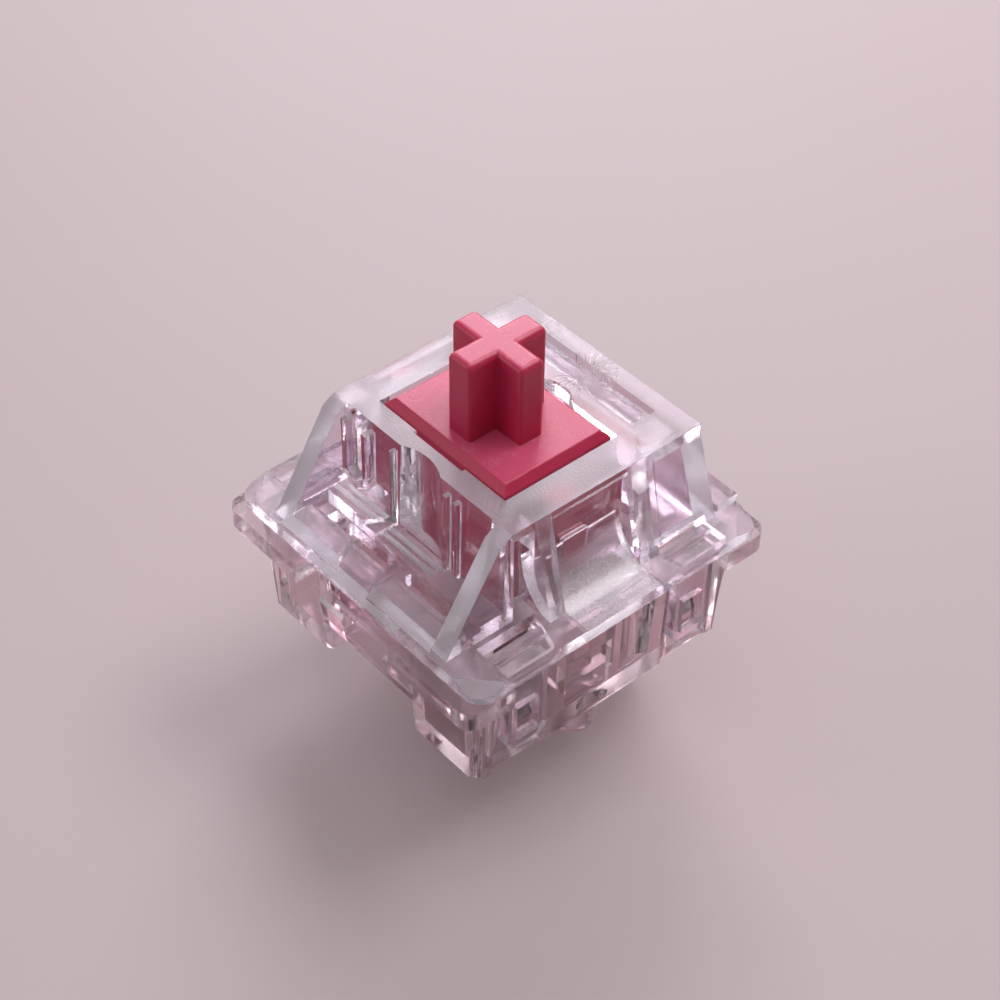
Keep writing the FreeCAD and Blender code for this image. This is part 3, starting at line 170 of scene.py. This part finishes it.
def clear_plastic(name, colour, frost, grained_above, satin_places=None, creases=None):
    """Polished clear plastic, spark-eroded on its slopes and on the faces above a height."""
    finish = Finish(name)
    grain = finish.noise(GRAIN_SIZE, 2.0, 0.6)
    flow = finish.noise(FLOW_SIZE, 3.0)
    cloud = finish.span(finish.noise(CLOUD_SIZE, 3.0, 0.6), 0.35, 0.65, 0.85, 1.0)
    grained = finish.span(finish.along("Z"), grained_above - 0.4 * MM, grained_above, 0.4, 1.0)
    level = finish.facing_up(0.9, 0.99)
    sloping = finish.facing_up(0.12, 0.4) - level
    frosted = (sloping * 0.9 + level * grained) * cloud * frost
    haze = frosted * finish.span(grain, 0.32, 0.68, 0.03, 0.25)
    roughness = POLISHED + finish.span(flow, 0.35, 0.7, 0.0, 0.03) + frosted * FROSTED
    relief = frosted * grain * GRAIN_RELIEF
    if satin_places:
        satin = satin_places(finish)
        plain = 1.0 - satin
        haze = haze * plain + satin * finish.span(grain, 0.3, 0.7, 0.2, 0.36)
        roughness = roughness * (1.0 - satin * SATIN_POLISH)
        relief = relief * plain
    if creases:
        folds = creases(finish)
        roughness = roughness * (1.0 - folds * FOLD_POLISH)
        relief = relief + folds * FOLD_RELIEF
    rounded = finish.node("Bevel", {"samples": 2}, {"Radius": EDGE_RADIUS})
    pits = finish.node(
        "Bump", {}, {"Strength": 1.0, "Distance": GRAIN_DEPTH, "Height": relief, "Normal": rounded}
    )
    glass = finish.shade({
        "Base Color": colour,
        "Roughness": roughness,
        "IOR": POLYCARBONATE_IOR,
        "Transmission Weight": 1.0,
        "Normal": pits,
    })
    bloom = finish.shade({"Base Color": BLOOM_COLOUR, "Roughness": 0.4, "Normal": pits})
    skin = finish.node("MixShader", {}, {0: haze, 1: glass, 2: bloom})
    lamp_way = finish.node("BsdfTransparent", {}, {"Color": (LAMP_SHARE, LAMP_SHARE, LAMP_SHARE, 1)})
    shadow = finish.node("LightPath", {}, {}, "Is Shadow Ray")
    return finish.finished(finish.node("MixShader", {}, {0: shadow, 1: skin, 2: lamp_way}))


def dress(node, material):
    """Gives a carried-over piece its finish."""
    slots = nodes[node].data.materials
    slots.clear()
    slots.append(material)


# Painted reflection: the pink tint stands in for reddish surroundings seen in and through the clear
# walls.
LOWER_PAINTED_ROSE_TINT = (0.8, 0.66, 0.7, 1)
LOWER_FROST = 0.4
joint_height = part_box("lower_housing")[1].z
dress("lower_housing", clear_plastic("clear_lower_housing", LOWER_PAINTED_ROSE_TINT, LOWER_FROST, joint_height))

# Contact strips
# The leaf and the blade are stamped from phosphor bronze strip, bent, and stood in the slots of the
# lower housing. Each carries a short bar of gold alloy, welded across the other's.


LINE_WIDTH_SCALE = 30000.0
LINE_LENGTH_SCALE = 1500.0
LINE_DEPTH = 0.004 * MM
HANDLED_SIZE = 1.1 * MM


def strip_metal(name, colour, wear_and_painted_sheen, rough):
    """Rolled metal with fine drawn lines, and duller patches where it was handled."""
    finish = Finish(name)
    stretch = (LINE_WIDTH_SCALE, LINE_WIDTH_SCALE, LINE_LENGTH_SCALE)
    drawn = finish.node("Mapping", {}, {"Vector": finish.place(), "Scale": stretch})
    lines = finish.node("TexNoise", {}, {"Vector": drawn, "Scale": 1.0, "Detail": 3.0})
    patches = finish.span(finish.noise(HANDLED_SIZE, 3.0), 0.4, 0.62)
    tone = finish.node("Mix", {"data_type": "RGBA"}, {0: patches, 6: colour, 7: wear_and_painted_sheen}, 2)
    roughness = rough + patches * 0.14 + lines * 0.1
    relief = finish.node("Bump", {}, {"Strength": 0.25, "Distance": LINE_DEPTH, "Height": lines})
    sockets = {"Base Color": tone, "Metallic": 1.0, "Roughness": roughness, "Normal": relief}
    return finish.finished(finish.shade(sockets))


BRONZE = (0.83, 0.5, 0.3, 1)
DULL_BRONZE = (0.62, 0.36, 0.22, 1)
GOLD = (0.98, 0.75, 0.36, 1)
DULL_GOLD = (0.86, 0.62, 0.3, 1)
bronze = strip_metal("phosphor_bronze_strip", BRONZE, DULL_BRONZE, 0.2)
gold = strip_metal("gold_contact_bar", GOLD, DULL_GOLD, 0.14)
dress("contact_leaf", bronze)
dress("contact_blade", bronze)
dress("leaf_contact_point", gold)
dress("blade_contact_point", gold)

# Return spring
# A compression spring wound from bright round steel wire, with its end turns closed. It stands on
# the seat in the lower housing and pushes up inside the stem.
WIRE_RADIUS = 0.14 * MM
ACTIVE_TURNS = 8.0
CLOSED_TURNS = 1.0
STEPS_PER_TURN = 40
WIRE_SIDES = 12
STEEL = (0.72, 0.7, 0.68, 1)
DULL_STEEL = (0.5, 0.48, 0.47, 1)


def coil_mesh(name, radius, low, high):
    """A tube along a helix that closes up at both ends."""
    turns = ACTIVE_TURNS + 2 * CLOSED_TURNS
    closed_rise = 2 * WIRE_RADIUS * CLOSED_TURNS
    rise = (high - low - 2 * WIRE_RADIUS - 2 * closed_rise) / ACTIVE_TURNS
    steps = int(turns * STEPS_PER_TURN)
    mesh = bmesh.new()
    rings = []
    for step in range(steps + 1):
        turn = step / STEPS_PER_TURN
        below = min(turn, CLOSED_TURNS)
        above = max(0.0, turn - CLOSED_TURNS - ACTIVE_TURNS)
        active = turn - below - above
        height = low + WIRE_RADIUS + (below + above) * 2 * WIRE_RADIUS + active * rise
        angle = 2 * math.pi * turn
        outward = Vector((math.cos(angle), math.sin(angle), 0))
        centre = outward * radius + Vector((0, 0, height))
        ring = []
        for side in range(WIRE_SIDES):
            bend = 2 * math.pi * side / WIRE_SIDES
            reach = outward * math.cos(bend) + Vector((0, 0, math.sin(bend)))
            ring.append(mesh.verts.new(centre + reach * WIRE_RADIUS))
        rings.append(ring)
    for first, second in zip(rings, rings[1:]):
        for side in range(WIRE_SIDES):
            following = (side + 1) % WIRE_SIDES
            corners = (first[side], second[side], second[following], first[following])
            mesh.faces.new(corners).smooth = True
    mesh.faces.new(rings[0])
    mesh.faces.new(reversed(rings[-1]))
    bmesh.ops.recalc_face_normals(mesh, faces=mesh.faces)
    data = bpy.data.meshes.new(name)
    mesh.to_mesh(data)
    mesh.free()
    return data


spring_low, spring_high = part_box("return_spring")
coil_radius = (spring_high.x - spring_low.x) / 2 - WIRE_RADIUS
coil = coil_mesh("spring_coil", coil_radius, spring_low.z, spring_high.z)
spring = bpy.data.objects.new("spring_coil", coil)
bpy.context.collection.objects.link(spring)
coil.materials.append(strip_metal("drawn_spring_wire", STEEL, DULL_STEEL, 0.16))
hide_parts("return_spring")
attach(spring, "housing")
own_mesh(spring)

# Upper housing
# The clear polycarbonate cover, one injection moulding that latches over the tub. Its ring and flange
# keep the fine grain of the mould, and its walls are polished.
# Painted reflection: the lilac tint stands in for reddish surroundings seen in and through the clear
# walls.
UPPER_PAINTED_LILAC_TINT = (0.84, 0.75, 0.83, 1)
UPPER_FROST = 1.0
INSERT_INNER = 5.05 * MM
INSERT_FRONT = -1.95 * MM
INSERT_BACK = 2.1 * MM
INSERT_TOP = 8.6 * MM
ring_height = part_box("upper_housing")[1].z - 0.1 * MM


def insert_faces(finish):
    """One on the satin faces that the mould's inserts leave at the foot of the scooped panels."""
    across = finish.maths("ABSOLUTE", finish.along("X"))
    outside = finish.span(across, INSERT_INNER, INSERT_INNER + 0.4 * MM)
    along = finish.along("Y")
    behind_front = finish.span(along, INSERT_FRONT, INSERT_FRONT + 0.1 * MM)
    before_back = finish.span(along, INSERT_BACK - 0.1 * MM, INSERT_BACK, 1.0, 0.0)
    low = finish.span(finish.along("Z"), INSERT_TOP - 1.9 * MM, INSERT_TOP, 1.0, 0.0)
    return outside * behind_front * before_back * low * finish.facing_up(0.15, 0.5)


GATE_X = 0.2 * MM
GATE_Y = 4.6 * MM
GATE_LEVEL = 10.3 * MM


def gate_creases(finish):
    """Fine creases that fan out behind the stem from where the plastic was let into the mould."""
    right = finish.along("X") - GATE_X
    back = finish.along("Y") - GATE_Y
    around = finish.maths("ARCTAN2", back, right)
    reach = finish.maths("SQRT", right * right + back * back)
    rays = finish.node(
        "TexNoise", {"noise_dimensions": "1D"}, {"W": around, "Scale": 7.0, "Detail": 1.0}
    )
    begun = finish.span(reach, 0.1 * MM, 0.3 * MM)
    faded = finish.span(reach, 0.8 * MM, 1.6 * MM, 1.0, 0.0)
    on_top = finish.span(finish.along("Z"), GATE_LEVEL, GATE_LEVEL + 0.2 * MM)
    return finish.span(rays, 0.45, 0.6) * begun * faded * on_top


upper_finish = clear_plastic(
    "clear_upper_housing", UPPER_PAINTED_LILAC_TINT, UPPER_FROST, ring_height, insert_faces, gate_creases
)
dress("upper_housing", upper_finish)

# Stem
# The coral pink slider, moulded in satin acetal, which lets a little light through. Its cross takes the
# key cap, and its top face is lightly scuffed by caps pushed on and off, and painted paler as a
# highlight.


EJECTOR_X = -2.95 * MM
EJECTOR_Y = -1.75 * MM
EJECTOR_RADIUS = 0.3 * MM
MOTTLE_SIZE = 0.8 * MM
STEM_GRAIN_SIZE = 0.07 * MM
SCUFF_SIZE = 0.4 * MM
RUBBED_SIZE = 0.9 * MM
STEM_EDGE_RADIUS = 0.09 * MM
STEM_RELIEF = 0.006 * MM
DEEP_CORAL = (0.54, 0.015, 0.065, 1)
CORAL = (0.62, 0.035, 0.11, 1)
# A paler coral, painted as a highlight on the faces that look up.
PAINTED_SHEEN_CORAL = (0.72, 0.11, 0.21, 1)
SCUFF_COLOUR = (0.9, 0.45, 0.52, 1)
ACETAL_IOR = 1.48


def satin_acetal(name):
    """Mottled coral, with a painted highlight where it faces up, curly scuffs and an ejector pin's
    ring.
    """
    finish = Finish(name)
    mottle = finish.noise(MOTTLE_SIZE, 4.0, 0.6)
    grain = finish.noise(STEM_GRAIN_SIZE, 3.0, 0.6)
    contour = finish.noise(SCUFF_SIZE, 6.0, 0.65)
    curls = finish.span(finish.maths("ABSOLUTE", contour - 0.5), 0.004, 0.02, 1.0, 0.0)
    rubbed = finish.span(finish.noise(RUBBED_SIZE, 2.0), 0.48, 0.58)
    scuffs = finish.facing_up() * curls * rubbed
    right = finish.along("X") - EJECTOR_X
    back = finish.along("Y") - EJECTOR_Y
    reach = finish.maths("SQRT", right * right + back * back)
    from_rim = finish.maths("ABSOLUTE", reach - EJECTOR_RADIUS)
    ejector_rim = finish.facing_up() * finish.span(from_rim, 0.02 * MM, 0.06 * MM, 1.0, 0.0)
    # Painted highlight: faces that look up are mixed towards the paler coral, in place of the lamps'
    # sheen.
    top = finish.facing_up(0.8, 0.97)
    tone = finish.node("Mix", {"data_type": "RGBA"}, {0: mottle, 6: DEEP_CORAL, 7: CORAL}, 2)
    wear_and_painted_sheen = finish.node("Mix", {"data_type": "RGBA"}, {0: top * 0.8, 6: tone, 7: PAINTED_SHEEN_CORAL}, 2)
    scuffed = finish.node("Mix", {"data_type": "RGBA"}, {0: scuffs * 0.32, 6: wear_and_painted_sheen, 7: SCUFF_COLOUR}, 2)
    rounded = finish.node("Bevel", {"samples": 4}, {"Radius": STEM_EDGE_RADIUS})
    relief = finish.node("Bump", {}, {
        "Strength": 0.3,
        "Distance": STEM_RELIEF,
        "Height": grain + scuffs * 0.8 - ejector_rim * 1.6,
        "Normal": rounded,
    })
    return finish.finished(finish.shade({
        "Base Color": scuffed,
        "Roughness": 0.27 + mottle * 0.12 + scuffs * 0.14,
        "IOR": ACETAL_IOR,
        "Subsurface Weight": 0.3,
        "Subsurface Radius": (1.0, 0.25, 0.2),
        "Subsurface Scale": 0.6 * MM,
        "Normal": relief,
    }))


dress("stem", satin_acetal("coral_acetal"))

# Floor, lamps and camera
# A plain pale table in a pale room, with soft lamps behind, above and a weak one in front, and a
# camera that looks down at the corner between the light slots and the right side.
FLOOR_SIDE = 4.0
FLOOR_CLOUD_SIZE = 60 * MM
FLOOR_DEEP = (0.53, 0.425, 0.44, 1)
FLOOR_PALE = (0.57, 0.465, 0.48, 1)
BACKDROP = (0.66, 0.57, 0.6, 1)
RUN_OUT_START = 70 * MM
RUN_OUT_END = 220 * MM
floor_height = cad_box[0][2]


def looked_at(finish):
    """One where a view, a reflection or clear plastic looks, and nought for light on the switch."""
    mirrored = finish.node("LightPath", {}, {}, "Is Glossy Ray")
    through = finish.node("LightPath", {}, {}, "Is Transmission Ray")
    straight = finish.node("LightPath", {}, {}, "Is Camera Ray")
    return finish.maths("MAXIMUM", straight, finish.maths("MAXIMUM", mirrored, through))


def floor_finish():
    """A pale table that runs out into the backdrop where the lamps no longer reach it."""
    finish = Finish("pale_table")
    cloud = finish.noise(FLOOR_CLOUD_SIZE, 3.0)
    tone = finish.node("Mix", {"data_type": "RGBA"}, {0: cloud, 6: FLOOR_DEEP, 7: FLOOR_PALE}, 2)
    lit = finish.shade({"Base Color": tone, "Roughness": 0.6})
    far = finish.node("VectorMath", {"operation": "LENGTH"}, {0: finish.place()}, "Value")
    run_out = finish.span(far, RUN_OUT_START, RUN_OUT_END) * looked_at(finish)
    backdrop = finish.node("Emission", {}, {"Color": BACKDROP})
    return finish.finished(finish.node("MixShader", {}, {0: run_out, 1: lit, 2: backdrop}))


table = bpy.data.meshes.new("table_top")
half = FLOOR_SIDE / 2
corners = [(x * half, y * half, floor_height) for x, y in ((-1, -1), (1, -1), (1, 1), (-1, 1))]
table.from_pydata(corners, [], [(0, 1, 2, 3)])
table.materials.append(floor_finish())
table_top = bpy.data.objects.new("table_top", table)
bpy.context.collection.objects.link(table_top)


LAMP_DISTANCE = 0.35
middle = Vector((0, 0, 6 * MM))


def soft_lamp(name, azimuth, elevation, size, power, colour):
    """A rectangular lamp that looks at the switch from a compass direction and a height."""
    light = bpy.data.lights.new(name, "AREA")
    light.shape = "RECTANGLE"
    light.size, light.size_y = size
    light.energy = power
    light.color = colour
    lamp = bpy.data.objects.new(name, light)
    bpy.context.collection.objects.link(lamp)
    flat = math.cos(math.radians(elevation))
    around = math.radians(azimuth)
    rise = math.sin(math.radians(elevation))
    toward = Vector((flat * math.cos(around), flat * math.sin(around), rise))
    lamp.location = middle + toward * LAMP_DISTANCE
    lamp.rotation_euler = toward.to_track_quat("Z", "Y").to_euler()


soft_lamp("back_lamp", 137, 30, (0.18, 0.09), 0.6, (0.98, 0.95, 1))
soft_lamp("key_lamp", 78, 56, (0.2, 0.14), 0.5, (1, 0.99, 0.99))
soft_lamp("top_lamp", -110, 80, (0.2, 0.2), 0.15, (1, 1, 1))
soft_lamp("front_lamp", -122, 20, (0.14, 0.1), 0.16, (0.97, 0.97, 1))


ROOM_COLOUR = (0.95, 0.93, 0.96, 1)


def studio_room():
    """A room that is dim at the horizon and brighter overhead, with a pale backdrop all round."""
    room = Finish("studio", bpy.data.worlds)
    way = room.node("TexCoord", {}, {}, "Generated")
    rise = room.node("SeparateXYZ", {}, {0: way}, "Z")
    level_air = room.node("Background", {}, {"Color": ROOM_COLOUR, "Strength": 0.05})
    high_air = room.node("Background", {}, {"Color": ROOM_COLOUR, "Strength": 0.42})
    air = room.node("MixShader", {}, {0: room.span(rise, 0.25, 0.8), 1: level_air, 2: high_air})
    backdrop = room.node("Background", {}, {"Color": BACKDROP, "Strength": 1.0})
    low = room.span(rise, 0.12, 0.3, 1.0, 0.0) * looked_at(room)
    return room.finished(room.node("MixShader", {}, {0: low, 1: air, 2: backdrop}), "World")


bpy.context.scene.world = studio_room()

CAMERA_AZIMUTH = math.radians(-41.34)
CAMERA_ELEVATION = math.radians(42.98)
CAMERA_ROLL = math.radians(0.81)
CAMERA_DISTANCE = 89.6 * MM
CAMERA_ASIDE = 0.178 * MM
CAMERA_RAISED = 0.59 * MM
LENS_LENGTH = 78.5
SENSOR_WIDTH = 36.0
backward = Vector((
    math.cos(CAMERA_ELEVATION) * math.cos(CAMERA_AZIMUTH),
    math.cos(CAMERA_ELEVATION) * math.sin(CAMERA_AZIMUTH),
    math.sin(CAMERA_ELEVATION),
))
level = Vector((-math.sin(CAMERA_AZIMUTH), math.cos(CAMERA_AZIMUTH), 0))
upright = backward.cross(level)
rightward = math.cos(CAMERA_ROLL) * level + math.sin(CAMERA_ROLL) * upright
upward = math.cos(CAMERA_ROLL) * upright - math.sin(CAMERA_ROLL) * level
lens = bpy.data.cameras.new("camera")
lens.lens = LENS_LENGTH
lens.sensor_width = SENSOR_WIDTH
lens.clip_start = 2 * MM
camera = bpy.data.objects.new("camera", lens)
bpy.context.collection.objects.link(camera)
eye = middle + backward * CAMERA_DISTANCE + rightward * CAMERA_ASIDE + upward * CAMERA_RAISED
turn = Matrix((rightward, upward, backward)).transposed()
camera.matrix_world = Matrix.Translation(eye) @ turn.to_4x4()
bpy.context.scene.camera = camera
bpy.context.scene.view_settings.view_transform = "Standard"

# Light turns back many times inside clear walls, so the paths are allowed to be long.
bpy.context.scene.cycles.max_bounces = 24
bpy.context.scene.cycles.glossy_bounces = 12
bpy.context.scene.cycles.transmission_bounces = 18
bpy.context.scene.cycles.transparent_max_bounces = 16
